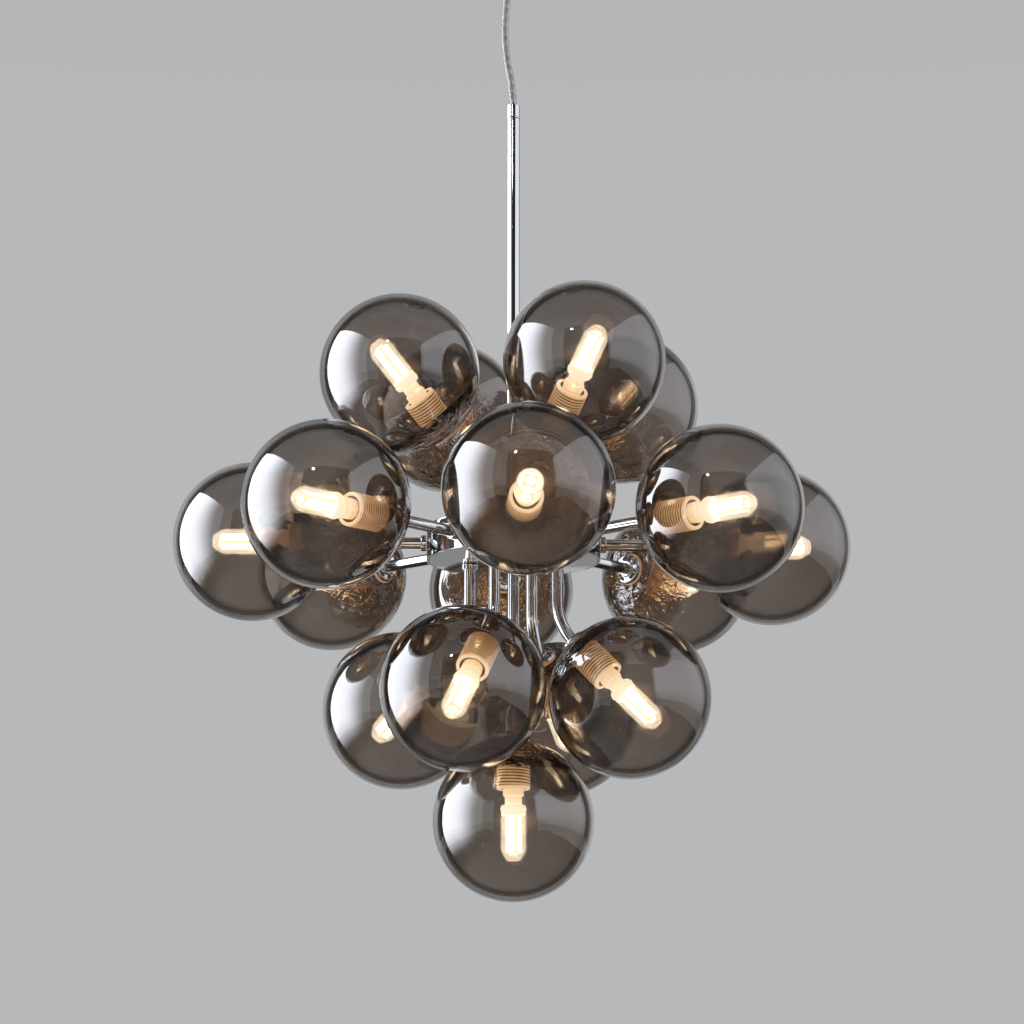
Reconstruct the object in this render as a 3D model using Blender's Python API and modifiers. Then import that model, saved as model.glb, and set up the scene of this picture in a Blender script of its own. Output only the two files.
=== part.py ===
"""Bubble chandelier: seventeen blown glass globes on chrome arms round a drum hub, hung by a clear cable.

The frame is +Z up, in metres, with the origin where the bracket meets the ceiling. A light's azimuth is
counted from the front (-Y) towards +X.
"""

import math

import bmesh
import bpy
from mathutils import Matrix, Vector

# Globes
GLOBE_DIAMETER = 0.120
GLOBE_WALL = 0.002
NECK_LENGTH = 0.008
NECK_WALL = 0.0025

# Where the globes' centres lie, from the middle of the hub
MIDDLE_COUNT = 8
CLUSTER_COUNT = 4
MIDDLE_RING_RADIUS = 0.197
UPPER_RING_RADIUS = 0.100
UPPER_RING_RISE = 0.120
LOWER_RING_RADIUS = 0.093
LOWER_RING_DROP = 0.122
BOTTOM_GLOBE_DROP = 0.209
UPPER_TWIST = math.radians(28.5)
LOWER_TWIST = math.radians(-26)
CLUSTER_TILT = math.radians(45)

# Lampholders, a screwed sleeve that reaches into the globe
HOLDER_DIAMETER = 0.025
HOLDER_LENGTH = 0.037
HOLDER_CHAMFER = 0.0012
SOCKET_DEPTH = 0.009
SCREW_CLEARANCE = 0.0005

# Capsule lamps
LAMP_NECK_DIAMETER = 0.0145
LAMP_NECK_LENGTH = 0.012
LAMP_SHOULDER = 0.003
CAPSULE_DIAMETER = 0.019
CAPSULE_LENGTH = 0.041
SOCKET_CLEARANCE = 0.0004

# Arms
ARM_DIAMETER = 0.009
ARM_BEND_RADIUS = 0.045
ARM_FOOT_RADIUS = 0.036
ARM_COLLAR_DIAMETER = 0.0125
ARM_COLLAR_LENGTH = 0.004
SPIGOT_DIAMETER = 0.007
SPIGOT_LENGTH = 0.007
SPIGOT_CLEARANCE = 0.0004

# Hub
HUB_DIAMETER = 0.132
HUB_HEIGHT = 0.026
HUB_WALL = 0.0015
HUB_PLATE_THICKNESS = 0.002

# Stem
STEM_DIAMETER = 0.010
STEM_WALL = 0.001
STEM_RISE = 0.3404
STEM_FLANGE_DIAMETER = 0.018
CAP_DIAMETER = 0.0106
CAP_HEAD_LENGTH = 0.011
CAP_SPIGOT_LENGTH = 0.006
CAP_CLEARANCE = 0.0004
CAP_WIRE_HOLE = 0.005

# Cable, whose route's points are sideways and upwards from its lower end, in shares of its free length
CABLE_DIAMETER = 0.006
CABLE_CLEARANCE = 0.0006
CABLE_MOUTH = 0.0045
CABLE_FLARE = 0.0009
CABLE_SEAT = 0.0012
CABLE_ROUTE_SHARES = (
    (0, 0),
    (0, 0.030),
    (-0.0045, 0.079),
    (-0.0137, 0.170),
    (-0.0332, 0.280),
    (-0.0442, 0.420),
    (-0.0403, 0.525),
    (-0.0300, 0.680),
    (-0.0120, 0.840),
    (0, 0.955),
    (0, 1),
)
CABLE_POINTS_PER_STRETCH = 2

# Ceiling fitting
CEILING_HEIGHT = 0.540
CANOPY_DIAMETER = 0.110
CANOPY_HEIGHT = 0.026
CANOPY_WALL = 0.0015
CANOPY_EDGE_RADIUS = 0.006
GRIP_DIAMETER = 0.014
GRIP_LENGTH = 0.0175
GRIP_FLANGE_DIAMETER = 0.018
GRIP_FLANGE_THICKNESS = 0.002
GRIP_NIPPLE_DIAMETER = 0.010
GRIP_NUT_DIAMETER = 0.016
GRIP_NUT_THICKNESS = 0.003
BRACKET_WIDTH = 0.020
BRACKET_THICKNESS = 0.002
BRACKET_EAR_DROP = 0.017
BRACKET_SCREW_SPACING = 0.060
BRACKET_SCREW_DIAMETER = 0.0045
TERMINAL_LENGTH = 0.030
TERMINAL_WIDTH = 0.016
TERMINAL_HEIGHT = 0.009
TERMINAL_BEVEL = 0.001

# Pieces that touch keep this much between them
SEAT_GAP = 0.0003
CUT_OVERRUN = 0.002

# Facets
GLOBE_STEPS = 14
GLOBE_RINGS = 6
LAMP_STEPS = 8
LAMP_TIP_RINGS = 2
HOLDER_STEPS = 12
HUB_STEPS = 32
SMALL_STEPS = 10
HOLE_STEPS = 8
BEND_SEGMENTS = 4
CORNER_SEGMENTS = 2

GLOBE_RADIUS = GLOBE_DIAMETER / 2
MOUTH_RADIUS = HOLDER_DIAMETER / 2 + SCREW_CLEARANCE
HUB_RADIUS = HUB_DIAMETER / 2
HUB_MIDDLE = Vector((0, 0, -CEILING_HEIGHT))
CABLE_BOTTOM = STEM_RISE + SEAT_GAP + CAP_HEAD_LENGTH - CABLE_MOUTH - CEILING_HEIGHT
CABLE_TOP = CABLE_MOUTH - CANOPY_HEIGHT - GRIP_LENGTH
SMOOTH_ANGLE = math.radians(35)
WELD = 0.00001


def clear_scene():
    for old in list(bpy.data.objects):
        bpy.data.objects.remove(old, do_unlink=True)


def new_collection(name):
    collection = bpy.data.collections.new(name)
    bpy.context.scene.collection.children.link(collection)
    return collection


def new_material(name, colour, roughness, metallic=0.0, transmission=0.0):
    material = bpy.data.materials.new(name)
    material.use_nodes = True
    shader = material.node_tree.nodes["Principled BSDF"]
    shader.inputs["Base Color"].default_value = (*colour, 1)
    shader.inputs["Roughness"].default_value = roughness
    shader.inputs["Metallic"].default_value = metallic
    shader.inputs["Transmission Weight"].default_value = transmission
    return material


clear_scene()
PARTS = new_collection("bubble_chandelier")
TOOLS = new_collection("cutters and guides")
CHROME = new_material("chrome", (0.82, 0.82, 0.83), 0.06, metallic=1.0)
SMOKED_GLASS = new_material("smoked glass", (0.30, 0.25, 0.21), 0.03, transmission=0.9)
LAMP_COVER = new_material("lamp cover", (1.0, 0.86, 0.62), 0.2)
CLEAR_PLASTIC = new_material("clear cable", (0.75, 0.76, 0.78), 0.2, transmission=0.6)
ZINC_STEEL = new_material("zinc plated steel", (0.55, 0.55, 0.56), 0.4, metallic=1.0)
WHITE_PLASTIC = new_material("white plastic", (0.8, 0.8, 0.78), 0.4)


def link(obj, collection):
    collection.objects.link(obj)
    if collection is TOOLS:
        obj.hide_render = True
        obj.display_type = "WIRE"
    return obj


def as_mesh(obj, name):
    """Replaces an object by the mesh that its modifiers or its bevel give, with loose caps welded."""
    bpy.context.view_layer.update()
    depsgraph = bpy.context.evaluated_depsgraph_get()
    mesh = bpy.data.meshes.new_from_object(obj.evaluated_get(depsgraph), depsgraph=depsgraph)
    mesh.name = name
    mesh.transform(obj.matrix_world)
    shape = bmesh.new()
    shape.from_mesh(mesh)
    bmesh.ops.remove_doubles(shape, verts=shape.verts, dist=WELD)
    shape.to_mesh(mesh)
    shape.free()
    mesh.shade_smooth()
    mesh.set_sharp_from_angle(angle=SMOOTH_ANGLE)
    bpy.data.objects.remove(obj, do_unlink=True)
    return mesh


def turned(name, profile, steps, ring=False, place=Matrix()):
    """A profile of (radius, height) points, turned about Z. It runs down its outer side."""
    count = len(profile)
    edges = [(i, (i + 1) % count) for i in range(count if ring else count - 1)]
    mesh = bpy.data.meshes.new(name)
    mesh.from_pydata([(radius, 0, height) for radius, height in profile], edges, [])
    obj = link(bpy.data.objects.new(name, mesh), TOOLS)
    screw = obj.modifiers.new("Turn", "SCREW")
    screw.steps = steps
    screw.render_steps = steps
    screw.use_merge_vertices = True
    screw.merge_threshold = WELD
    obj.matrix_world = place
    return as_mesh(obj, name)


def arc(centre, radius, start, end, segments):
    """Points on an arc in (radius, height), its angles counted from the outward side upwards."""
    points = []
    for i in range(segments + 1):
        angle = start + (end - start) * i / segments
        points.append((centre[0] + radius * math.cos(angle), centre[1] + radius * math.sin(angle)))
    return points


def tube(name, points, diameter, sides_resolution=2):
    """A round bar along points, with closed ends."""
    curve = bpy.data.curves.new(name, "CURVE")
    curve.dimensions = "3D"
    curve.bevel_depth = diameter / 2
    curve.bevel_resolution = sides_resolution
    curve.use_fill_caps = True
    spline = curve.splines.new("POLY")
    spline.points.add(len(points) - 1)
    for point, place in zip(spline.points, points):
        point.co = (*place, 1)
    return as_mesh(link(bpy.data.objects.new(name, curve), TOOLS), name)


def add_part(name, mesh, material, parent=None, place=Matrix()):
    obj = bpy.data.objects.new(name, mesh)
    PARTS.objects.link(obj)
    if not mesh.materials:
        mesh.materials.append(material)
    obj.parent = parent
    obj.matrix_local = place
    return obj


def combined(name, base, others, operation):
    """The base mesh with other meshes joined to it, or cut from it."""
    obj = link(bpy.data.objects.new(name, base), TOOLS)
    helpers = []
    for i, other in enumerate(others):
        helper = link(bpy.data.objects.new(f"{name}_{operation.lower()}_{i}", other), TOOLS)
        helpers.append(helper)
        modifier = obj.modifiers.new(helper.name, "BOOLEAN")
        modifier.operation = operation
        modifier.object = helper
    mesh = as_mesh(obj, name)
    for helper in helpers:
        bpy.data.objects.remove(helper, do_unlink=True)
    return mesh


def rod(name, radius, start, direction, length, steps=HOLE_STEPS):
    """A plain cylinder from a point along a direction."""
    shape = bmesh.new()
    bmesh.ops.create_cone(shape, cap_ends=True, segments=steps, radius1=radius, radius2=radius, depth=length)
    mesh = bpy.data.meshes.new(name)
    shape.to_mesh(mesh)
    shape.free()
    direction = Vector(direction).normalized()
    turn = direction.to_track_quat("Z", "Y").to_matrix().to_4x4()
    mesh.transform(Matrix.Translation(Vector(start) + direction * length / 2) @ turn)
    return mesh


# Where the lights lie

def ring_angles(count, twist=0.0):
    return [twist + math.tau * i / count for i in range(count)]


def swing(azimuth):
    """Turns +X, the outward side of an arm as it is drawn, to the azimuth."""
    return Matrix.Rotation(azimuth - math.pi / 2, 4, "Z")


def globe_place(radius, height, tilt):
    """A globe's frame as it is drawn: +Z leaves the hub, tilt is counted from straight up."""
    return Matrix.Translation((radius, 0, height)) @ Matrix.Rotation(tilt, 4, "Y")


HORIZONTAL = math.pi / 2
LIGHTS = {
    "middle": {
        "azimuths": ring_angles(MIDDLE_COUNT),
        "place": globe_place(MIDDLE_RING_RADIUS, 0, HORIZONTAL),
        "foot": Vector((HUB_RADIUS + SEAT_GAP, 0, 0)),
        "leaves": Vector((1, 0, 0)),
    },
    "upper": {
        "azimuths": ring_angles(CLUSTER_COUNT, UPPER_TWIST),
        "place": globe_place(UPPER_RING_RADIUS, UPPER_RING_RISE, CLUSTER_TILT),
        "foot": Vector((ARM_FOOT_RADIUS, 0, HUB_HEIGHT / 2 + SEAT_GAP)),
        "leaves": Vector((0, 0, 1)),
    },
    "lower": {
        "azimuths": ring_angles(CLUSTER_COUNT, LOWER_TWIST),
        "place": globe_place(LOWER_RING_RADIUS, -LOWER_RING_DROP, math.pi - CLUSTER_TILT),
        "foot": Vector((ARM_FOOT_RADIUS, 0, -HUB_HEIGHT / 2 - SEAT_GAP)),
        "leaves": Vector((0, 0, -1)),
    },
    "bottom": {
        "azimuths": ring_angles(1),
        "place": globe_place(0, -BOTTOM_GLOBE_DROP, math.pi),
        "foot": Vector((0, 0, -HUB_HEIGHT / 2 - SEAT_GAP)),
        "leaves": Vector((0, 0, -1)),
    },
}


# Globe

def globe_mesh():
    """A blown ball with its mouth at the bottom and a screw neck turned in round the lampholder."""
    inner = GLOBE_RADIUS - GLOBE_WALL
    neck_outside = MOUTH_RADIUS + NECK_WALL
    mouth_angle = -math.acos(MOUTH_RADIUS / GLOBE_RADIUS)
    root_angle = -math.acos(neck_outside / inner)
    neck_top = GLOBE_RADIUS * math.sin(mouth_angle) + NECK_LENGTH
    profile = arc((0, 0), GLOBE_RADIUS, math.pi / 2, mouth_angle, GLOBE_RINGS)
    profile += [(MOUTH_RADIUS, neck_top), (neck_outside, neck_top)]
    profile += arc((0, 0), inner, root_angle, math.pi / 2, GLOBE_RINGS)
    profile[0] = (0, GLOBE_RADIUS)
    profile[-1] = (0, inner)
    return turned("globe", profile, GLOBE_STEPS)


# Lamp

HOLDER_BACK = -GLOBE_RADIUS
HOLDER_FRONT = HOLDER_BACK + HOLDER_LENGTH
SOCKET_FLOOR = HOLDER_FRONT - SOCKET_DEPTH


def lamp_mesh():
    """A capsule lamp, its neck seated in the socket and its tip rounded."""
    neck = LAMP_NECK_DIAMETER / 2
    capsule = CAPSULE_DIAMETER / 2
    shoulder = HOLDER_FRONT + LAMP_NECK_LENGTH
    tip_middle = shoulder + CAPSULE_LENGTH - capsule
    profile = arc((0, tip_middle), capsule, math.pi / 2, 0, LAMP_TIP_RINGS)
    profile[0] = (0, tip_middle + capsule)
    profile += [
        (capsule, shoulder + LAMP_SHOULDER),
        (neck, shoulder),
        (neck, SOCKET_FLOOR + SEAT_GAP),
        (0, SOCKET_FLOOR + SEAT_GAP),
    ]
    return turned("lamp", profile, LAMP_STEPS)


# Arm with its lampholder

def holder_mesh(place):
    """The sleeve of a lampholder, with the socket for the lamp's neck in its front."""
    outside = HOLDER_DIAMETER / 2
    socket = LAMP_NECK_DIAMETER / 2 + SOCKET_CLEARANCE
    profile = [
        (0, SOCKET_FLOOR),
        (socket, SOCKET_FLOOR),
        (socket, HOLDER_FRONT),
        (outside - HOLDER_CHAMFER, HOLDER_FRONT),
        (outside, HOLDER_FRONT - HOLDER_CHAMFER),
        (outside, HOLDER_BACK + HOLDER_CHAMFER),
        (outside - HOLDER_CHAMFER, HOLDER_BACK),
        (0, HOLDER_BACK),
    ]
    return turned("holder", profile, HOLDER_STEPS, place=place)


def arm_path(foot, leaves, neck, arrives):
    """A straight run off the hub, a bend in one plane, and a straight run into the neck."""
    turn = leaves.angle(arrives)
    if math.isclose(turn, 0, abs_tol=WELD):
        return [foot, neck]
    side = (arrives - leaves * math.cos(turn)).normalized()
    shift = (neck - foot).dot(side)
    last_run = (shift - ARM_BEND_RADIUS * (1 - math.cos(turn))) / math.sin(turn)
    bend_end = neck - arrives * last_run
    bend_start = bend_end - leaves * ARM_BEND_RADIUS * math.sin(turn)
    bend_start -= side * ARM_BEND_RADIUS * (1 - math.cos(turn))
    points = [foot]
    for i in range(BEND_SEGMENTS + 1):
        angle = turn * i / BEND_SEGMENTS
        across = side * ARM_BEND_RADIUS * (1 - math.cos(angle))
        points.append(bend_start + leaves * ARM_BEND_RADIUS * math.sin(angle) + across)
    points.append(neck)
    return points


def arm_foot_mesh(foot, leaves):
    """The collar that seats on the hub and the screwed spigot that goes into it."""
    turn = leaves.to_track_quat("Z", "Y").to_matrix().to_4x4()
    profile = [
        (0, ARM_COLLAR_LENGTH),
        (ARM_COLLAR_DIAMETER / 2, ARM_COLLAR_LENGTH),
        (ARM_COLLAR_DIAMETER / 2, 0),
        (SPIGOT_DIAMETER / 2, 0),
        (SPIGOT_DIAMETER / 2, -SPIGOT_LENGTH),
        (0, -SPIGOT_LENGTH),
    ]
    return turned("arm_foot", profile, SMALL_STEPS, place=Matrix.Translation(foot) @ turn)


def arm_mesh(name, light):
    """One arm as it is drawn: foot, tube and lampholder, joined."""
    place = light["place"]
    arrives = (place.to_3x3() @ Vector((0, 0, 1))).normalized()
    neck = place @ Vector((0, 0, HOLDER_BACK + HOLDER_CHAMFER * 2))
    start = light["foot"] + light["leaves"] * ARM_COLLAR_LENGTH / 2
    bar = tube(name, arm_path(start, light["leaves"], neck, arrives), ARM_DIAMETER)
    ends = [arm_foot_mesh(light["foot"], light["leaves"]), holder_mesh(place)]
    return combined(name, bar, ends, "UNION")


def add_lights():
    globe = globe_mesh()
    lamp = lamp_mesh()
    for ring, light in LIGHTS.items():
        arm = arm_mesh(f"arm_{ring}", light)
        single = len(light["azimuths"]) == 1
        for i, azimuth in enumerate(light["azimuths"]):
            label = ring if single else f"{ring}_{i + 1}"
            hub_frame = Matrix.Translation(HUB_MIDDLE) @ swing(azimuth)
            add_part(f"arm_{label}", arm, CHROME, place=hub_frame)
            point = bpy.data.objects.new(f"light_point_{label}", None)
            TOOLS.objects.link(point)
            point.matrix_world = hub_frame @ light["place"]
            add_part(f"globe_{label}", globe, SMOKED_GLASS, parent=point)
            add_part(f"lamp_{label}", lamp, LAMP_COVER, parent=point)


# Hub

def spigot_holes(rings, inwards):
    """Cutters for the spigots of the arms in some rings, in the hub's frame."""
    radius = SPIGOT_DIAMETER / 2 + SPIGOT_CLEARANCE
    depth = SEAT_GAP + HUB_PLATE_THICKNESS + CUT_OVERRUN * 2
    cutters = []
    for ring in rings:
        for azimuth in LIGHTS[ring]["azimuths"]:
            turn = swing(azimuth)
            foot = turn @ (LIGHTS[ring]["foot"] + LIGHTS[ring]["leaves"] * CUT_OVERRUN)
            direction = turn @ (LIGHTS[ring]["leaves"] * inwards)
            cutters.append(rod("spigot_hole", radius, foot, direction, depth + CUT_OVERRUN))
    return cutters


def add_hub():
    """A drum that is open below, and the plate that closes it."""
    top = HUB_HEIGHT / 2
    inner = HUB_RADIUS - HUB_WALL
    stem_hole = SPIGOT_DIAMETER / 2 + SPIGOT_CLEARANCE
    profile = [
        (stem_hole, top),
        (HUB_RADIUS, top),
        (HUB_RADIUS, -top),
        (inner, -top),
        (inner, top - HUB_WALL),
        (stem_hole, top - HUB_WALL),
    ]
    drum = turned("hub_drum", profile, HUB_STEPS, ring=True)
    drum = combined("hub_drum", drum, spigot_holes(("middle", "upper"), -1), "DIFFERENCE")
    middle = Matrix.Translation(HUB_MIDDLE)
    add_part("hub_drum", drum, CHROME, place=middle)
    edge = inner - SEAT_GAP
    plate = rod("hub_bottom_plate", edge, (0, 0, -top), (0, 0, 1), HUB_PLATE_THICKNESS, HUB_STEPS)
    holes = spigot_holes(("lower", "bottom"), -1)
    plate = combined("hub_bottom_plate", plate, holes, "DIFFERENCE")
    add_part("hub_bottom_plate", plate, CHROME, place=middle)


# Stem with its cap

def add_stem():
    top = HUB_HEIGHT / 2 + SEAT_GAP
    outside = STEM_DIAMETER / 2
    bore = outside - STEM_WALL
    spigot_bore = SPIGOT_DIAMETER / 2 - STEM_WALL
    profile = [
        (outside, STEM_RISE),
        (outside, top + ARM_COLLAR_LENGTH),
        (STEM_FLANGE_DIAMETER / 2, top + ARM_COLLAR_LENGTH),
        (STEM_FLANGE_DIAMETER / 2, top),
        (SPIGOT_DIAMETER / 2, top),
        (SPIGOT_DIAMETER / 2, top - SPIGOT_LENGTH),
        (spigot_bore, top - SPIGOT_LENGTH),
        (spigot_bore, top + ARM_COLLAR_LENGTH),
        (bore, top + ARM_COLLAR_LENGTH),
        (bore, STEM_RISE),
    ]
    middle = Matrix.Translation(HUB_MIDDLE)
    add_part("stem", turned("stem", profile, SMALL_STEPS, ring=True), CHROME, place=middle)
    seat = STEM_RISE + SEAT_GAP
    cap_top = seat + CAP_HEAD_LENGTH
    hole = CABLE_DIAMETER / 2 + CABLE_CLEARANCE
    spigot = bore - CAP_CLEARANCE
    shoulder = cap_top - CABLE_MOUTH - CABLE_SEAT
    profile = [
        (hole + CABLE_FLARE, cap_top),
        (CAP_DIAMETER / 2, cap_top),
        (CAP_DIAMETER / 2, seat),
        (spigot, seat),
        (spigot, seat - CAP_SPIGOT_LENGTH),
        (CAP_WIRE_HOLE / 2, seat - CAP_SPIGOT_LENGTH),
        (CAP_WIRE_HOLE / 2, shoulder),
        (hole, shoulder),
        (hole, cap_top - CABLE_MOUTH),
    ]
    add_part("stem_cap", turned("stem_cap", profile, SMALL_STEPS, ring=True), CHROME, place=middle)


# Cable

def smooth_route(points, per_stretch):
    """Points on a curve through the route's points, with its ends straight."""
    padded = [points[0], *points, points[-1]]
    route = []
    for before, start, end, after in zip(padded, padded[1:], padded[2:], padded[3:]):
        for i in range(per_stretch):
            t = i / per_stretch
            slope_in = (end - before) / 2
            slope_out = (after - start) / 2
            route.append(
                start * (2 * t**3 - 3 * t**2 + 1) + slope_in * (t**3 - 2 * t**2 + t)
                + end * (3 * t**2 - 2 * t**3) + slope_out * (t**3 - t**2)
            )
    route.append(points[-1])
    return route


def add_cable():
    bottom = Vector((0, 0, CABLE_BOTTOM))
    free_length = CABLE_TOP - CABLE_BOTTOM
    route = [bottom + Vector((across, 0, up)) * free_length for across, up in CABLE_ROUTE_SHARES]
    points = smooth_route(route, CABLE_POINTS_PER_STRETCH)
    add_part("suspension_cable", tube("suspension_cable", points, CABLE_DIAMETER), CLEAR_PLASTIC)


# Ceiling fitting: bracket, terminal block, canopy and cord grip

def add_canopy():
    """A pressed cup with a rounded lower edge and a hole for the cord grip."""
    outside = CANOPY_DIAMETER / 2
    inside = outside - CANOPY_WALL
    hole = GRIP_NIPPLE_DIAMETER / 2 + SPIGOT_CLEARANCE
    edge = CANOPY_EDGE_RADIUS
    bend = (outside - edge, -CANOPY_HEIGHT + edge)
    profile = [(outside, -SEAT_GAP)]
    profile += arc(bend, edge, 0, -math.pi / 2, CORNER_SEGMENTS)
    profile += [(hole, -CANOPY_HEIGHT), (hole, -CANOPY_HEIGHT + CANOPY_WALL)]
    profile += arc(bend, edge - CANOPY_WALL, -math.pi / 2, 0, CORNER_SEGMENTS)
    profile += [(inside, -SEAT_GAP)]
    add_part("canopy", turned("canopy", profile, HUB_STEPS, ring=True), CHROME)


def add_cord_grip():
    """The grip under the canopy, its nipple and lock nut through it, and a flared mouth for the cable."""
    under = -CANOPY_HEIGHT - SEAT_GAP
    inside = -CANOPY_HEIGHT + CANOPY_WALL + SEAT_GAP
    nut_top = inside + GRIP_NUT_THICKNESS
    nipple = GRIP_NIPPLE_DIAMETER / 2
    hole = CABLE_DIAMETER / 2 + CABLE_CLEARANCE
    mouth = -CANOPY_HEIGHT - GRIP_LENGTH
    profile = [
        (0, nut_top),
        (GRIP_NUT_DIAMETER / 2, nut_top),
        (GRIP_NUT_DIAMETER / 2, inside),
        (nipple, inside),
        (nipple, under),
        (GRIP_FLANGE_DIAMETER / 2, under),
        (GRIP_FLANGE_DIAMETER / 2, under - GRIP_FLANGE_THICKNESS),
        (GRIP_DIAMETER / 2, under - GRIP_FLANGE_THICKNESS),
        (GRIP_DIAMETER / 2, mouth),
        (hole + CABLE_FLARE, mouth),
        (hole, CABLE_TOP),
        (hole, CABLE_TOP + CABLE_SEAT),
        (0, CABLE_TOP + CABLE_SEAT),
    ]
    add_part("cord_grip", turned("cord_grip", profile, SMALL_STEPS), CHROME)


def add_bracket():
    """A folded strip against the ceiling, with an ear at each end for the canopy and two screw holes."""
    edge_angle = math.asin(BRACKET_WIDTH / 2 / (CANOPY_DIAMETER / 2 - CANOPY_WALL))
    facet_share = math.cos(math.pi / HUB_STEPS)
    reach = (CANOPY_DIAMETER / 2 - CANOPY_WALL) * math.cos(edge_angle) * facet_share - SEAT_GAP
    inner = reach - BRACKET_THICKNESS
    outline = [
        (-reach, 0), (reach, 0), (reach, -BRACKET_EAR_DROP), (inner, -BRACKET_EAR_DROP),
        (inner, -BRACKET_THICKNESS), (-inner, -BRACKET_THICKNESS),
        (-inner, -BRACKET_EAR_DROP), (-reach, -BRACKET_EAR_DROP),
    ]
    curve = bpy.data.curves.new("ceiling_bracket", "CURVE")
    curve.dimensions = "2D"
    curve.fill_mode = "BOTH"
    curve.extrude = BRACKET_WIDTH / 2
    spline = curve.splines.new("POLY")
    spline.points.add(len(outline) - 1)
    for point, place in zip(spline.points, outline):
        point.co = (*place, 0, 1)
    spline.use_cyclic_u = True
    strip = link(bpy.data.objects.new("ceiling_bracket", curve), TOOLS)
    strip.matrix_world = Matrix.Rotation(math.pi / 2, 4, "X")
    mesh = as_mesh(strip, "ceiling_bracket")
    depth = BRACKET_THICKNESS + CUT_OVERRUN * 2
    holes = []
    for side in (-1, 1):
        start = (side * BRACKET_SCREW_SPACING / 2, 0, CUT_OVERRUN)
        holes.append(rod("screw_hole", BRACKET_SCREW_DIAMETER / 2, start, (0, 0, -1), depth))
    add_part("ceiling_bracket", combined("ceiling_bracket", mesh, holes, "DIFFERENCE"), ZINC_STEEL)


def add_terminal_block():
    shape = bmesh.new()
    bmesh.ops.create_cube(shape, size=1)
    bmesh.ops.scale(shape, vec=(TERMINAL_LENGTH, TERMINAL_WIDTH, TERMINAL_HEIGHT), verts=shape.verts)
    mesh = bpy.data.meshes.new("terminal_block")
    shape.to_mesh(mesh)
    shape.free()
    obj = link(bpy.data.objects.new("terminal_block", mesh), TOOLS)
    bevel = obj.modifiers.new("Edges", "BEVEL")
    bevel.width = TERMINAL_BEVEL
    top = -BRACKET_THICKNESS - SEAT_GAP
    place = Matrix.Translation((0, 0, top - TERMINAL_HEIGHT / 2))
    add_part("terminal_block", as_mesh(obj, "terminal_block"), WHITE_PLASTIC, place=place)


add_lights()
add_hub()
add_stem()
add_cable()
add_canopy()
add_cord_grip()
add_bracket()
add_terminal_block()
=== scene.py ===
import math

import bmesh
import bpy
from mathutils import Matrix, Vector


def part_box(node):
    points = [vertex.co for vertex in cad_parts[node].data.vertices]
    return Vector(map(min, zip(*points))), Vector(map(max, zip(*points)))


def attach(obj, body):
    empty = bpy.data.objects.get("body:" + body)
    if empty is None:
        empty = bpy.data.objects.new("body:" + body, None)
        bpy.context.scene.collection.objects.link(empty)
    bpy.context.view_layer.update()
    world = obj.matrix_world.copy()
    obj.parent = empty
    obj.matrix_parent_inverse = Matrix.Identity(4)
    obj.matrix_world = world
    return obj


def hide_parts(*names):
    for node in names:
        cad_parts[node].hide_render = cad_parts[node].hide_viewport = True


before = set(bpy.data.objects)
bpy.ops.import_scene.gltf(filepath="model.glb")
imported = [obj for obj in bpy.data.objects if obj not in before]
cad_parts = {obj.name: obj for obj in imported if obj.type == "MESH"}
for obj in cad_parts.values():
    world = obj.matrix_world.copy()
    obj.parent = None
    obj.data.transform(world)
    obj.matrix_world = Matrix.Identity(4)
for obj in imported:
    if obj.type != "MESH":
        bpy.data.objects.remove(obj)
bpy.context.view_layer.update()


# Camera: the photograph looks up at the light from 1.93 m away and 0.38 m below its middle
# ring of globes, 3 degrees left of square, through a long lens.
hub_height = -0.540
camera_distance = 1.9253
camera_drop = 0.3831
camera_azimuth = math.radians(-3.0)
camera_pitch = math.radians(11.97)
film_width = 36.0
lens_length = 90.94
lens_shift = -0.0014


def add_object(name, data):
    """Puts new data in the scene, as an object at the origin."""
    new = bpy.data.objects.new(name, data)
    bpy.context.scene.collection.objects.link(new)
    return new


camera_data = bpy.data.cameras.new("photo_camera")
camera_data.sensor_width = film_width
camera_data.lens = lens_length
camera_data.shift_x = lens_shift
camera = add_object("photo_camera", camera_data)
camera.location = (camera_distance * math.sin(camera_azimuth),
                   -camera_distance * math.cos(camera_azimuth), hub_height - camera_drop)
camera.rotation_euler = (math.pi / 2 + camera_pitch, 0, camera_azimuth)
bpy.context.scene.camera = camera


# Suspension cable: two bright tinned cores twisted inside a round clear PVC sleeve. It comes out
# of the stem's cap, sways a little to the left under no great load, and ends in the canopy's grip.
cable_bottom = -0.1928
cable_top = -0.039
cable_diameter = 0.006
cable_wall = 0.0008
cable_sides = 28
cable_route_shares = (
    (0, 0), (0, 0.030), (-0.0045, 0.079), (-0.0137, 0.170), (-0.0332, 0.280), (-0.0442, 0.420),
    (-0.0403, 0.525), (-0.0300, 0.680), (-0.0120, 0.840), (0, 0.955), (0, 1),
)
cable_points_per_stretch = 3
core_diameter = 0.0018
core_twist_pitch = 0.016
core_sides = 10
core_points = 120
core_end_gap = Vector((0, 0, 0.0005))
bend_points = 14


def colour(hex_value):
    """The linear colour of an sRGB hex value."""
    channels = [int(hex_value[i:i + 2], 16) / 255 for i in (1, 3, 5)]
    return [c / 12.92 if c <= 0.04045 else ((c + 0.055) / 1.055) ** 2.4 for c in channels] + [1.0]


usual_settings = {"Mix": {"data_type": "RGBA"}, "Math": {"operation": "MULTIPLY"},
                  "VectorMath": {"operation": "MULTIPLY"}}


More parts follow.
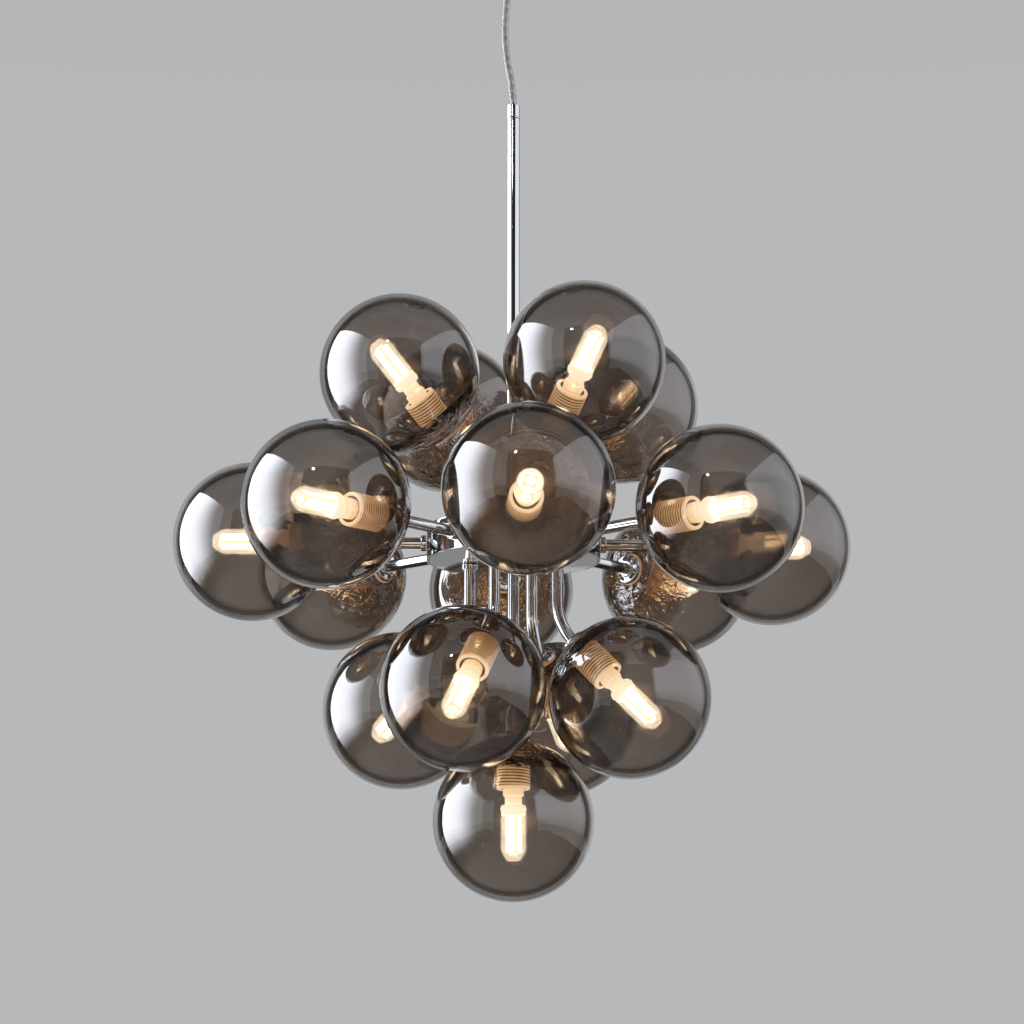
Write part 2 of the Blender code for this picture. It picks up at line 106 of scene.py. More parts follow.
def add_node(tree, kind, inputs=(), **settings):
    """Adds a node with its settings and its inputs, by name or in order. A shader node's kind goes
    without its prefix. An input is a value or a hex colour, or is fed by a socket, or by the first
    output that another node has in use."""
    node = tree.nodes.new(kind if "Node" in kind else f"ShaderNode{kind}")
    for name, value in {**usual_settings.get(kind, {}), **settings}.items():
        setattr(node, name, value)
    for name, value in inputs.items() if isinstance(inputs, dict) else enumerate(inputs):
        if isinstance(value, bpy.types.Node):
            value = next(output for output in value.outputs if output.enabled)
        if isinstance(value, bpy.types.NodeSocket):
            tree.links.new(value, node.inputs[name])
        else:
            is_hex = isinstance(value, str) and value.startswith("#")
            node.inputs[name].default_value = colour(value) if is_hex else value
    return node


def new_material(name):
    """A material whose node tree is still empty."""
    material = bpy.data.materials.new(name)
    material.use_nodes = True
    material.node_tree.nodes.clear()
    return material, material.node_tree


def end_material(tree, surface, lamp_tint=None):
    """Ends a material's tree in its surface. A tint lets light from lamps pass, tinted so."""
    shader = add_node(tree, "BsdfPrincipled", surface)
    if lamp_tint:
        passes = add_node(tree, "BsdfTransparent", {"Color": lamp_tint})
        shadow = add_node(tree, "LightPath").outputs["Is Shadow Ray"]
        shader = add_node(tree, "MixShader", (shadow, shader, passes))
    add_node(tree, "OutputMaterial", {"Surface": shader})


def new_growth(name, inputs):
    """A Geometry Nodes tree with named inputs, and the sockets that give them."""
    tree = bpy.data.node_groups.new(name, "GeometryNodeTree")
    for label, kind in {"Geometry": "Geometry", **inputs}.items():
        tree.interface.new_socket(label, in_out="INPUT", socket_type=f"NodeSocket{kind}")
    tree.interface.new_socket("Geometry", in_out="OUTPUT", socket_type="NodeSocketGeometry")
    return tree, add_node(tree, "NodeGroupInput").outputs


def end_growth(tree, geometry, material):
    """Ends a tree: what it repeats becomes mesh, and gets its material."""
    smooth = add_node(tree, "GeometryNodeSetShadeSmooth", {"Geometry": geometry})
    real = add_node(tree, "GeometryNodeRealizeInstances", {"Geometry": smooth})
    painted = add_node(tree, "GeometryNodeSetMaterial", {"Geometry": real, "Material": material})
    add_node(tree, "NodeGroupOutput", {"Geometry": painted})
    return tree


def grown_mesh(data, tree, sizes):
    """The plain mesh that a tree grows from a curve or from another mesh."""
    source = add_object("source", data)
    growth = source.modifiers.new(tree.name, "NODES")
    growth.node_group = tree
    for item in tree.interface.items_tree:
        if item.in_out == "INPUT" and item.name in sizes:
            growth[item.identifier] = sizes[item.name]
    depsgraph = bpy.context.evaluated_depsgraph_get()
    mesh = bpy.data.meshes.new_from_object(source.evaluated_get(depsgraph), depsgraph=depsgraph)
    mesh.materials.clear()
    mesh.materials.append(sizes["Material"])
    mesh.polygons.foreach_set("material_index", [0] * len(mesh.polygons))
    bpy.data.objects.remove(source, do_unlink=True)
    return mesh


def add_piece(name, mesh, body, slot, *nodes):
    """Shows a finished mesh as a piece that rides on a body and stands for CAD nodes."""
    mesh.name = name
    piece = add_object(name, mesh)
    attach(piece, body)
    if nodes:
        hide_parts(*nodes)
    return piece


def path_curve(lines):
    """A curve with one straight-sided spline for each line of points."""
    curve = bpy.data.curves.new("path", "CURVE")
    curve.dimensions = "3D"
    for points in lines:
        spline = curve.splines.new("POLY")
        spline.points.add(len(points) - 1)
        for point, place in zip(spline.points, points):
            point.co = (*place, 1)
    return curve


def smooth_route(points, per_stretch):
    """Points on a smooth curve through the route's points, with its ends straight."""
    padded = [points[0], *points, points[-1]]
    route = []
    for before, start, end, after in zip(padded, padded[1:], padded[2:], padded[3:]):
        for i in range(per_stretch):
            t = i / per_stretch
            route.append(
                start * (2 * t**3 - 3 * t**2 + 1) + (end - before) / 2 * (t**3 - 2 * t**2 + t)
                + end * (3 * t**2 - 2 * t**3) + (after - start) / 2 * (t**3 - t**2)
            )
    return route + [points[-1]]


# Clear plasticised PVC, extruded: glass-clear but soft, so its shine is a little blurred
clear_pvc, tree = new_material("clear_pvc_extruded")
place = add_node(tree, "TexCoord").outputs["Object"]
grain = add_node(tree, "TexNoise", {"Vector": place, "Scale": 160.0, "Detail": 3.0})
relief = add_node(tree, "Bump", {"Height": grain, "Strength": 0.25, "Distance": 0.0004})
end_material(tree, {"Base Color": "#F4F5F4", "Roughness": 0.12, "IOR": 1.53, "Transmission Weight": 1.0,
                    "Normal": relief}, lamp_tint="#FAFAFA")

# Tinned copper braid: bright, with strands 0.2 mm thick, drawn at 0.6 mm so that they show
tinned_copper, tree = new_material("tinned_copper_braid")
place = add_node(tree, "TexCoord").outputs["Object"]
strands = add_node(tree, "TexWave", {"Vector": place, "Scale": 260.0, "Distortion": 2.0, "Detail": 1.0},
                   wave_type="BANDS", bands_direction="DIAGONAL").outputs["Fac"]
relief = add_node(tree, "Bump", {"Height": strands, "Strength": 0.8, "Distance": 0.0003})
shade = add_node(tree, "Mix", {0: strands, 6: "#A9A8A4", 7: "#F1F0EC"})
end_material(tree, {"Base Color": shade, "Metallic": 1.0, "Roughness": 0.28, "Normal": relief})

tree, given = new_growth("tube_along_path", {
    "Diameter": "Float", "Bend Radius": "Float", "Sides": "Int", "Material": "Material"})
bent = add_node(tree, "GeometryNodeFilletCurve", {
    "Curve": given["Geometry"], "Radius": given["Bend Radius"], "Count": bend_points,
    "Limit Radius": True}, mode="POLY")
half = add_node(tree, "Math", (given["Diameter"], 0.5))
ring = add_node(tree, "GeometryNodeCurvePrimitiveCircle", {"Resolution": given["Sides"], "Radius": half})
swept = add_node(tree, "GeometryNodeCurveToMesh", {"Curve": bent, "Profile Curve": ring, "Fill Caps": False})
tube_growth = end_growth(tree, swept, given["Material"])

# The cores' middles lie a little over half a diameter from the cable's, on opposite sides
tree, given = new_growth("twisted_cores", {
    "Core Diameter": "Float", "Twist Pitch": "Float", "Material": "Material"})
fine = add_node(tree, "GeometryNodeResampleCurve", {"Curve": given["Geometry"], "Count": core_points})
along = add_node(tree, "GeometryNodeSplineParameter").outputs["Length"]
turns = add_node(tree, "Math", (along, given["Twist Pitch"]), operation="DIVIDE")
normal = add_node(tree, "GeometryNodeInputNormal")
tangent = add_node(tree, "GeometryNodeInputTangent")
across = add_node(tree, "VectorMath", (tangent, normal), operation="CROSS_PRODUCT")
reach, half = (add_node(tree, "Math", (given["Core Diameter"], share)) for share in (0.54, 0.5))
ring = add_node(tree, "GeometryNodeCurvePrimitiveCircle", {"Resolution": core_sides, "Radius": half})
joined = add_node(tree, "GeometryNodeJoinGeometry")
for start in (0, math.pi):
    angle = add_node(tree, "Math", (turns, math.tau, start), operation="MULTIPLY_ADD")
    offset = (0, 0, 0)
    for direction, wave in ((normal, "COSINE"), (across, "SINE")):
        share = add_node(tree, "Math", {0: angle}, operation=wave)
        size = add_node(tree, "Math", (share, reach))
        step = add_node(tree, "VectorMath", {0: direction, "Scale": size}, operation="SCALE")
        offset = add_node(tree, "VectorMath", (offset, step), operation="ADD")
    moved = add_node(tree, "GeometryNodeSetPosition", {"Geometry": fine, "Offset": offset})
    core = add_node(tree, "GeometryNodeCurveToMesh", {
        "Curve": moved, "Profile Curve": ring, "Fill Caps": True})
    tree.links.new(core.outputs[0], joined.inputs[0])
core_growth = end_growth(tree, joined, given["Material"])

cable_rise = cable_top - cable_bottom
cable_line = smooth_route(
    [Vector((aside * cable_rise, 0, cable_bottom + up * cable_rise)) for aside, up in cable_route_shares],
    cable_points_per_stretch,
)
sleeve_mesh = grown_mesh(path_curve([cable_line]), tube_growth, {
    "Diameter": cable_diameter, "Bend Radius": 0.0, "Sides": cable_sides, "Material": clear_pvc})
sleeve = add_piece("cable_sleeve", sleeve_mesh, "cable", "clear_pvc", "suspension_cable")
wall = sleeve.modifiers.new("Wall", "SOLIDIFY")
wall.thickness = cable_wall
wall.offset = -1.0
core_line = [cable_line[0] + core_end_gap, *cable_line[1:-1], cable_line[-1] - core_end_gap]
core_mesh = grown_mesh(path_curve([core_line]), core_growth, {
    "Core Diameter": core_diameter, "Twist Pitch": core_twist_pitch, "Material": tinned_copper})
cores = add_piece("cable_cores", core_mesh, "cable", "clear_pvc")


# Canopy: a cup spun from steel sheet, polished and chrome plated, with a rounded lower edge. Two
# small dome screws hold it to the ears of the bracket inside.
canopy_diameter = 0.110
canopy_height = 0.026
canopy_wall = 0.0015
canopy_edge_radius = 0.006
canopy_edge_share = 0.9
canopy_hole = 0.0108
canopy_steps = 128
canopy_screw_drop = 0.011
ceiling_gap = 0.0003
broken_edge = 0.0003
sharp_angle = math.radians(40)


def rounded(corners, steps=4):
    """Profile points from (radius, height, fillet) corners, each turned with its fillet."""
    points = []
    for before, corner, after in zip([corners[-1]] + corners, corners, corners[1:] + corners[:1]):
        middle = Vector(corner[:2])
        if not corner[2]:
            points.append(tuple(middle))
            continue
        start = middle + (Vector(before[:2]) - middle).normalized() * corner[2]
        end = middle + (Vector(after[:2]) - middle).normalized() * corner[2]
        for i in range(steps + 1):
            t = i / steps
            points.append(tuple(start * (1 - t) ** 2 + middle * 2 * t * (1 - t) + end * t**2))
    return points


def new_mesh(shape, materials):
    """A mesh of a finished bmesh, with its materials."""
    mesh = bpy.data.meshes.new("part")
    shape.to_mesh(mesh)
    shape.free()
    for material in materials:
        mesh.materials.append(material)
    return mesh


def turned(profile, steps, material, ring=False, place=Matrix()):
    """A mesh turned about Z from (radius, height) points, which run up its outer side."""
    shape = bmesh.new()
    rows = []
    for radius, height in profile:
        angles = [math.tau * i / steps for i in range(steps if radius > 1e-7 else 1)]
        rows.append([shape.verts.new((radius * math.cos(a), radius * math.sin(a), height)) for a in angles])
    for lower, upper in zip(rows, rows[1:] + (rows[:1] if ring else [])):
        for i in range(steps):
            j = (i + 1) % steps
            corners = [lower[i % len(lower)], lower[j % len(lower)],
                       upper[j % len(upper)], upper[i % len(upper)]]
            shape.faces.new(list(dict.fromkeys(corners)))
    mesh = new_mesh(shape, [material])
    mesh.transform(place)
    mesh.shade_smooth()
    mesh.set_sharp_from_angle(angle=sharp_angle)
    return mesh


def joined_mesh(meshes):
    """Several meshes as one, which keeps their materials and their sharp edges."""
    shape = bmesh.new()
    materials = []
    for mesh in meshes:
        slots = []
        for material in mesh.materials:
            if material not in materials:
                materials.append(material)
            slots.append(materials.index(material))
        start = len(shape.faces)
        shape.from_mesh(mesh)
        shape.faces.ensure_lookup_table()
        for face in shape.faces[start:]:
            face.material_index = slots[face.material_index]
    return new_mesh(shape, materials)


# Chrome plate over polished brass and steel: a mirror with faint polishing haze and a few smudges
chrome, tree = new_material("chrome_plate_polished")
place = add_node(tree, "TexCoord").outputs["Object"]
smudge = add_node(tree, "TexNoise", {"Vector": place, "Scale": 38.0, "Detail": 4.0, "Roughness": 0.6})
haze = add_node(tree, "MapRange", {
    "Value": smudge, "From Min": 0.45, "From Max": 0.8, "To Min": 0.035, "To Max": 0.11})
ripple = add_node(tree, "TexNoise", {"Vector": place, "Scale": 24.0, "Detail": 1.0})
relief = add_node(tree, "Bump", {"Height": ripple, "Strength": 0.12, "Distance": 0.0006})
end_material(tree, {"Base Color": "#D5D6D8", "Metallic": 1.0, "Roughness": haze, "Normal": relief})

outside = canopy_diameter / 2
inside = outside - canopy_wall
floor_top = -canopy_height + canopy_wall
canopy_profile = rounded([
    (canopy_hole / 2, -canopy_height, broken_edge),
    (outside, -canopy_height, canopy_edge_radius * canopy_edge_share),
    (outside, -ceiling_gap, broken_edge), (inside, -ceiling_gap, broken_edge),
    (inside, floor_top, (canopy_edge_radius - canopy_wall) * canopy_edge_share),
    (canopy_hole / 2, floor_top, broken_edge),
], 8)
canopy_parts = [turned(canopy_profile, canopy_steps, chrome, ring=True)]
dome_screw = turned(rounded([(0, 0, 0), (0.0033, 0, 0.0002), (0.0033, 0.0006, 0.0004),
                             (0.0014, 0.0017, 0.0008), (0, 0.0017, 0)]), 24, chrome)
for side in (-1, 1):
    screw = dome_screw.copy()
    screw.transform(Matrix.Translation((side * (outside + 0.0001), 0, -canopy_screw_drop))
                    @ Matrix.Rotation(side * math.pi / 2, 4, "Y"))
    canopy_parts.append(screw)
add_piece("canopy_cup", joined_mesh(canopy_parts), "ceiling_fitting", "chrome_sheet", "canopy")


# Cord grip: turned brass, chrome plated, with a knurled barrel that is screwed up against the
# canopy. Its nipple and lock nut go through the canopy's hole, and its mouth is flared.
grip_radius = 0.007
grip_bottom = -0.0435
grip_hole = 0.0036
grip_flare = 0.0013
grip_throat = cable_top + 0.0012
grip_steps = 144
grip_flange_radius = 0.009
grip_flange_height = 0.002
grip_under = -canopy_height - ceiling_gap
barrel_low = grip_bottom + 0.0020
barrel_high = grip_under - 0.0046
barrel_rows = 10
nipple_radius = 0.005
nut_radius = 0.008
nut_low = floor_top + ceiling_gap
nut_high = nut_low + 0.003
knurl_count = 36
knurl_depth = 0.00022
knurl_margin = 0.0001


def round_axis(tree):
    """For each point: its angle round Z, its height, and its way out from Z, whole and as a direction."""
    point = add_node(tree, "GeometryNodeInputPosition")
    x, y, height = add_node(tree, "SeparateXYZ", {0: point}).outputs
    around = add_node(tree, "Math", (y, x), operation="ARCTAN2")
    flat = add_node(tree, "VectorMath", (point, (1, 1, 0)))
    outwards = add_node(tree, "VectorMath", {0: flat}, operation="NORMALIZE")
    return around, height, flat, outwards


def moved_out(tree, geometry, outwards, distance):
    """Geometry whose points move a distance along their way out."""
    step = add_node(tree, "VectorMath", {0: outwards, "Scale": distance}, operation="SCALE")
    return add_node(tree, "GeometryNodeSetPosition", {"Geometry": geometry, "Offset": step})


tree, given = new_growth("knurled_barrel", {
    "Ridges": "Float", "Depth": "Float", "Low": "Float", "High": "Float", "Material": "Material"})
around, height, flat, outwards = round_axis(tree)
above = add_node(tree, "Math", (height, given["Low"]), operation="GREATER_THAN")
below = add_node(tree, "Math", (height, given["High"]), operation="LESS_THAN")
groove = around
for operation, other in (("MULTIPLY", given["Ridges"]), ("COSINE", 0.0), ("SUBTRACT", 1.0),
                         ("MULTIPLY", given["Depth"]), ("MULTIPLY", above), ("MULTIPLY", below)):
    groove = add_node(tree, "Math", (groove, other), operation=operation)
knurl_growth = end_growth(tree, moved_out(tree, given["Geometry"], outwards, groove), given["Material"])

grip_profile = rounded([
    (0, grip_throat, 0), (grip_hole, grip_throat, 0), (grip_hole, cable_top, 0.0006),
    (grip_hole + grip_flare, grip_bottom, 0.0005), (grip_radius, grip_bottom, 0.0008),
])
grip_profile += [(grip_radius, barrel_low - 2 * knurl_margin)]
grip_profile += [(grip_radius, barrel_low + (barrel_high - barrel_low) * i / barrel_rows)
                 for i in range(barrel_rows + 1)]
grip_profile += rounded([
    (grip_radius, barrel_high + 2 * knurl_margin, 0), (grip_radius, grip_under - grip_flange_height, 0.0004),
    (grip_flange_radius, grip_under - grip_flange_height, 0.0004),
    (grip_flange_radius, grip_under, broken_edge), (nipple_radius, grip_under, 0),
    (nipple_radius, nut_low, 0), (nut_radius, nut_low, broken_edge), (nut_radius, nut_high, 0.0004),
    (0, nut_high, 0),
])
grip_mesh = grown_mesh(turned(grip_profile, grip_steps, chrome), knurl_growth, {
    "Ridges": float(knurl_count), "Depth": knurl_depth, "Low": barrel_low - knurl_margin,
    "High": barrel_high + knurl_margin, "Material": chrome})
grip_mesh.set_sharp_from_angle(angle=sharp_angle)
add_piece("cord_grip_knurled", grip_mesh, "ceiling_fitting", "chrome_turned", "cord_grip")


# Ceiling bracket: a strap folded from zinc plated steel, screwed to the ceiling. It keeps its CAD
# shape and gets the spangled, slightly dull face of zinc plate.
zinc, tree = new_material("zinc_plated_steel")
place = add_node(tree, "TexCoord").outputs["Object"]
spangle = add_node(tree, "TexVoronoi", {"Vector": place, "Scale": 260.0}).outputs["Color"]
wear = add_node(tree, "TexNoise", {"Vector": place, "Scale": 90.0, "Detail": 5.0})
shade = add_node(tree, "Mix", {0: spangle, 6: "#A6A8A9", 7: "#C9CBCC"})
dull = add_node(tree, "MapRange", {"Value": wear, "To Min": 0.32, "To Max": 0.52})
relief = add_node(tree, "Bump", {"Height": wear, "Strength": 0.3, "Distance": 0.0003})
end_material(tree, {"Base Color": shade, "Metallic": 1.0, "Roughness": dull, "Normal": relief})
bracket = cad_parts["ceiling_bracket"]
bracket.data.materials.clear()
bracket.data.materials.append(zinc)


# Terminal block: three wire ways moulded side by side in white polyamide, each with a screw at
# both of its ends. It is fixed under the bracket, out of sight inside the canopy.
block_low, block_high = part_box("terminal_block")
block_size = block_high - block_low
block_middle = (block_low + block_high) / 2
way_count = 3
way_pitch = block_size.x / way_count
way_share = 0.86
web_shares = (0.12, 0.5, 0.6)
terminal_reach = 0.0045


def block(size, middle, bevel, segments, material):
    """A block round its middle, with bevelled edges where there is a bevel."""
    shape = bmesh.new()
    bmesh.ops.create_cube(shape, size=1)
    bmesh.ops.scale(shape, vec=size, verts=shape.verts)
    if bevel:
        bmesh.ops.bevel(shape, geom=shape.edges[:], offset=bevel, segments=segments, affect="EDGES")
    bmesh.ops.translate(shape, vec=middle, verts=shape.verts)
    return new_mesh(shape, [material])


# White polyamide, moulded: off-white, half matt, with the fine grain of its mould
polyamide, tree = new_material("polyamide_moulded_white")
place = add_node(tree, "TexCoord").outputs["Object"]
grain = add_node(tree, "TexNoise", {"Vector": place, "Scale": 700.0, "Detail": 2.0})
relief = add_node(tree, "Bump", {"Height": grain, "Strength": 0.3, "Distance": 0.0001})
tone = add_node(tree, "TexNoise", {"Vector": place, "Scale": 60.0})
shade = add_node(tree, "Mix", {0: tone, 6: "#DEDCD6", 7: "#EDEBE6"})
end_material(tree, {"Base Color": shade, "Roughness": 0.42, "Normal": relief})

screw_head = rounded([(0, 0, 0), (0.0017, 0, 0), (0.0017, 0.0007, 0.0003), (0, 0.0007, 0)])
block_parts = []
for i in range(way_count):
    x = block_low.x + way_pitch * (i + 0.5)
    block_parts.append(block((way_pitch * way_share, block_size.y, block_size.z),
                             (x, block_middle.y, block_middle.z), 0.0012, 3, polyamide))
    for side in (-1, 1):
        seat = Matrix.Translation((x, block_middle.y + side * terminal_reach, block_low.z - 0.00005))
        block_parts.append(turned(screw_head, 16, zinc, place=seat @ Matrix.Rotation(math.pi, 4, "X")))
web_size = [share * size for share, size in zip(web_shares, (way_pitch, block_size.y, block_size.z))]
for i in range(1, way_count):
    block_parts.append(block(web_size, (block_low.x + way_pitch * i, block_middle.y, block_middle.z),
                             0, 0, polyamide))
add_piece("terminal_strip", joined_mesh(block_parts), "ceiling_fitting", "white_plastic", "terminal_block")


# Stem and cap: a 10 mm steel tube, polished and chrome plated, screwed to the hub by a flange. A
# turned plug closes its upper end, flush with it but for a fine lip, and its mouth takes the cable.
stem_radius = 0.005
stem_wall = 0.001
stem_rise = 0.3404
stem_steps = 48
stem_flange_radius = 0.009
stem_flange_height = 0.004
hub_thickness = 0.026
seat_gap = 0.0003
lip_radius = 0.0053
cap_head_length = 0.011
cap_spigot_length = 0.006
cap_mouth = 0.0045
cap_bore = 0.0025

flange_low = hub_thickness / 2 + seat_gap
flange_high = flange_low + stem_flange_height
stem_bore = stem_radius - stem_wall
hub_place = Matrix.Translation((0, 0, hub_height))
stem_profile = rounded([
    (stem_bore, flange_low, 0.0002), (stem_flange_radius, flange_low, 0.0003),
    (stem_flange_radius, flange_high, 0.0008), (stem_radius + 0.0006, flange_high, 0.0005),
    (stem_radius, flange_high + 0.0006, 0.0004), (stem_radius, stem_rise, 0.0002),
    (stem_bore, stem_rise, 0.0002),
])
add_piece("stem_tube", turned(stem_profile, stem_steps, chrome, ring=True, place=hub_place),
          "pendant", "chrome_sheet", "stem")
cap_seat = stem_rise + seat_gap
cap_top = cap_seat + cap_head_length
cap_radius = stem_radius + 0.0001
cap_throat = cap_top - cap_mouth
spigot_radius = stem_bore - 0.0004
cap_profile = rounded([
    (cap_bore, cap_seat - cap_spigot_length, 0.0002), (spigot_radius, cap_seat - cap_spigot_length, 0.0004),
    (spigot_radius, cap_seat, 0), (lip_radius, cap_seat, 0.0002), (lip_radius, cap_seat + 0.0009, 0.0002),
    (cap_radius, cap_seat + 0.0011, 0.0002), (cap_radius, cap_top, 0.0003),
    (grip_hole + grip_flare, cap_top, 0.0002), (grip_hole, cap_throat, 0.0006),
    (grip_hole, cap_throat - 0.0012, 0.0002), (cap_bore, cap_throat - 0.0012, 0.0002),
])
add_piece("stem_cap_turned", turned(cap_profile, stem_steps, chrome, ring=True, place=hub_place),
          "pendant", "chrome_turned", "stem_cap")


# Hub: a drum pressed from steel sheet, chrome plated, open below, and the mirror plate that closes
# it. Eight arms leave its side, four its top, and five its plate.
hub_radius = 0.066
hub_wall = 0.0015
hub_steps = 144
stem_hole_radius = 0.0039
plate_thickness = 0.002
top = hub_thickness / 2
inner = hub_radius - hub_wall
plate_radius = inner - seat_gap
drum_profile = rounded([
    (stem_hole_radius, top - hub_wall, 0.0002), (inner, top - hub_wall, 0.0006), (inner, -top, 0.0003),
    (hub_radius, -top, 0.0006), (hub_radius, top, 0.0012), (stem_hole_radius, top, 0.0002),
], 5)
add_piece("hub_drum_pressed", turned(drum_profile, hub_steps, chrome, ring=True, place=hub_place),
          "pendant", "chrome_sheet", "hub_drum")
plate_profile = rounded([
    (0, -top, 0), (plate_radius, -top, 0.0004), (plate_radius, -top + plate_thickness, 0.0003),
    (0, -top + plate_thickness, 0),
])
add_piece("hub_plate_mirror", turned(plate_profile, hub_steps, chrome, place=hub_place),
          "pendant", "chrome_sheet", "hub_bottom_plate")


# Arms: 9 mm brass tubes, bent on a 45 mm radius, polished and chrome plated, each screwed to the
# hub through a turned collar. Eight are level, four rise, four hang, and one goes straight down.
globe_radius = 0.060
arm_radius = 0.0045
arm_bend_radius = 0.045
arm_sides = 32
arm_foot_radius = 0.036
arm_end_share = 0.94
collar_radius = 0.00625
collar_length = 0.004
collar_seat = collar_length * 0.4
seat = top + seat_gap
lights = {}
for ring, count, turn, radius, height, tilt, foot, leaves in (
    ("middle", 8, 0.0, 0.197, 0.0, 90.0, (hub_radius + seat_gap, 0, 0), (1, 0, 0)),
    ("upper", 4, 28.5, 0.100, 0.120, 45.0, (arm_foot_radius, 0, seat), (0, 0, 1)),
    ("lower", 4, -26.0, 0.093, -0.122, 135.0, (arm_foot_radius, 0, -seat), (0, 0, -1)),
    ("bottom", 1, 0.0, 0.0, -0.209, 180.0, (0, 0, -seat), (0, 0, -1)),
):
    for i in range(count):
        azimuth = math.radians(turn) + math.tau * i / count
        swing = hub_place @ Matrix.Rotation(azimuth - math.pi / 2, 4, "Z")
        place = swing @ Matrix.Translation((radius, 0, height)) @ Matrix.Rotation(math.radians(tilt), 4, "Y")
        lights[ring if count == 1 else f"{ring}_{i + 1}"] = {
            "place": place, "middle": place.to_translation(), "foot": swing @ Vector(foot),
            "outwards": (place.to_3x3() @ Vector((0, 0, 1))).normalized(),
            "leaves": (swing.to_3x3() @ Vector(leaves)).normalized(),
        }


def arm_line(light):
    """An arm's line: from its foot to a corner, if it has a bend, and into its lampholder."""
    end = light["place"] @ Vector((0, 0, -globe_radius * arm_end_share))
    start = light["foot"] + light["leaves"] * collar_seat
    turn = light["leaves"].angle(light["outwards"])
    if turn < 0.01:
        return [start, end]
    aside = (light["outwards"] - light["leaves"] * math.cos(turn)).normalized()
    last_run = (end - start).dot(aside) / math.sin(turn)
    return [start, end - light["outwards"] * last_run, end]


def copies(mesh, point, direction):
    """One mesh of copies, one on a point of each light, its Z along one of the light's directions."""
    points = bpy.data.meshes.new("points")
    points.from_pydata([light[point] for light in lights.values()], [], [])
    attribute = points.attributes.new("direction", "FLOAT_VECTOR", "POINT")
    attribute.data.foreach_set("vector", [x for light in lights.values() for x in light[direction]])
    original = add_object("original", mesh)
    result = grown_mesh(points, copy_growth, {"Copy": original, "Material": mesh.materials[0]})
    bpy.data.objects.remove(original, do_unlink=True)
    return result


tree, given = new_growth("copies_on_points", {"Copy": "Object", "Material": "Material"})
original = add_node(tree, "GeometryNodeObjectInfo", {"Object": given["Copy"]}).outputs["Geometry"]
direction = add_node(tree, "GeometryNodeInputNamedAttribute", {"Name": "direction"},
                     data_type="FLOAT_VECTOR")
turn = add_node(tree, "FunctionNodeAlignRotationToVector", {"Vector": direction}, axis="Z")
placed = add_node(tree, "GeometryNodeInstanceOnPoints", {
    "Points": given["Geometry"], "Instance": original, "Rotation": turn})
copy_growth = end_growth(tree, placed, given["Material"])

arm_tubes = grown_mesh(path_curve([arm_line(light) for light in lights.values()]), tube_growth, {
    "Diameter": 2 * arm_radius, "Bend Radius": arm_bend_radius, "Sides": arm_sides, "Material": chrome})
collar = turned(rounded([
    (0, 0, 0), (collar_radius, 0, 0.0003), (collar_radius, collar_length, 0.0008),
    (arm_radius + 0.0001, collar_length, 0.0002), (0, collar_seat, 0)]), arm_sides, chrome)
arm_mesh = joined_mesh([arm_tubes, copies(collar, "foot", "leaves")])
arm_mesh.set_sharp_from_angle(angle=sharp_angle)
add_piece("arms_with_collars", arm_mesh, "pendant", "chrome_arm", *[f"arm_{label}" for label in lights])


# Lampholders: 25 mm G9 sleeves moulded in tan heat-proof polyester. A thread along each of them
# holds the globe and runs on to just behind the rim round the lamp. A chrome cap closes the back.
holder_radius = 0.0125
holder_steps = 40
holder_back = -globe_radius
holder_front = holder_back + 0.037
holder_floor = holder_back + 0.004
rim_radius = holder_radius - 0.0001
recess_radius = holder_radius - 0.0030
recess_floor = holder_front - 0.0012
socket_radius = 0.00765
socket_depth = 0.009
socket_floor = holder_front - socket_depth
wire_hole_radius = 0.0055
thread_start = holder_back + 0.0030
thread_end = holder_front - 0.0018
thread_pitch = 0.0023
thread_depth = 0.0008
thread_rows = round((thread_end - thread_start) / thread_pitch * 6)
cap_radius = 0.0118
cap_seat = holder_back - 0.0002
cap_back = holder_back - 0.0042
cap_hole_radius = arm_radius + 0.0002


def fill_ramp(ramp, stops):
    """Gives a new colour ramp its stops, each a position and a hex colour."""
    for _ in stops[2:]:
        ramp.elements.new(0.5)
    for element, (position, shade) in zip(ramp.elements, stops):
        element.position = position
        element.color = colour(shade)


# Glass filled polyester, moulded: tan, matt, with flow marks. Painted shade makes it browner down in
# the thread and in its recesses, and a painted glow of the lamp's light, an emission, brightens its front
polyester, tree = new_material("polyester_moulded_tan")
place = add_node(tree, "TexCoord").outputs["Object"]
flow = add_node(tree, "TexNoise", {"Vector": place, "Scale": 120.0, "Detail": 4.0, "Distortion": 1.0})
tan = add_node(tree, "Mix", {0: flow, 6: "#D2AE83", 7: "#EACFA8"})
# Painted shade: darker brown down in the thread's groove and in the recesses
groove = add_node(tree, "Attribute", attribute_name="groove").outputs["Fac"]
body = add_node(tree, "Mix", {0: groove, 6: tan, 7: "#5E3D1F"})
grain = add_node(tree, "TexNoise", {"Vector": place, "Scale": 900.0, "Detail": 2.0})
dull = add_node(tree, "MapRange", {"Value": grain, "To Min": 0.34, "To Max": 0.5})
relief = add_node(tree, "Bump", {"Height": grain, "Strength": 0.25, "Distance": 0.0001})
# Painted glow of the lamp's light: an emission, bright at the front by the lamp, dim towards the back, and
# darker in the groove as painted shade
along = add_node(tree, "Attribute", attribute_name="along").outputs["Fac"]
reach = add_node(tree, "MapRange", {"Value": along, "From Min": holder_back, "From Max": holder_front})
painted_lamp_glow = add_node(tree, "ValToRGB", {"Fac": reach})
fill_ramp(painted_lamp_glow.color_ramp, ((0.0, "#50321A"), (0.93, "#E9BC86"), (0.985, "#FFEFCF")))
glow = add_node(tree, "Mix", {0: groove, 6: painted_lamp_glow, 7: "#2E1B0B"})
end_material(tree, {"Base Color": body, "Roughness": dull, "IOR": 1.57, "Normal": relief,
                    "Emission Color": glow, "Emission Strength": 1.5})
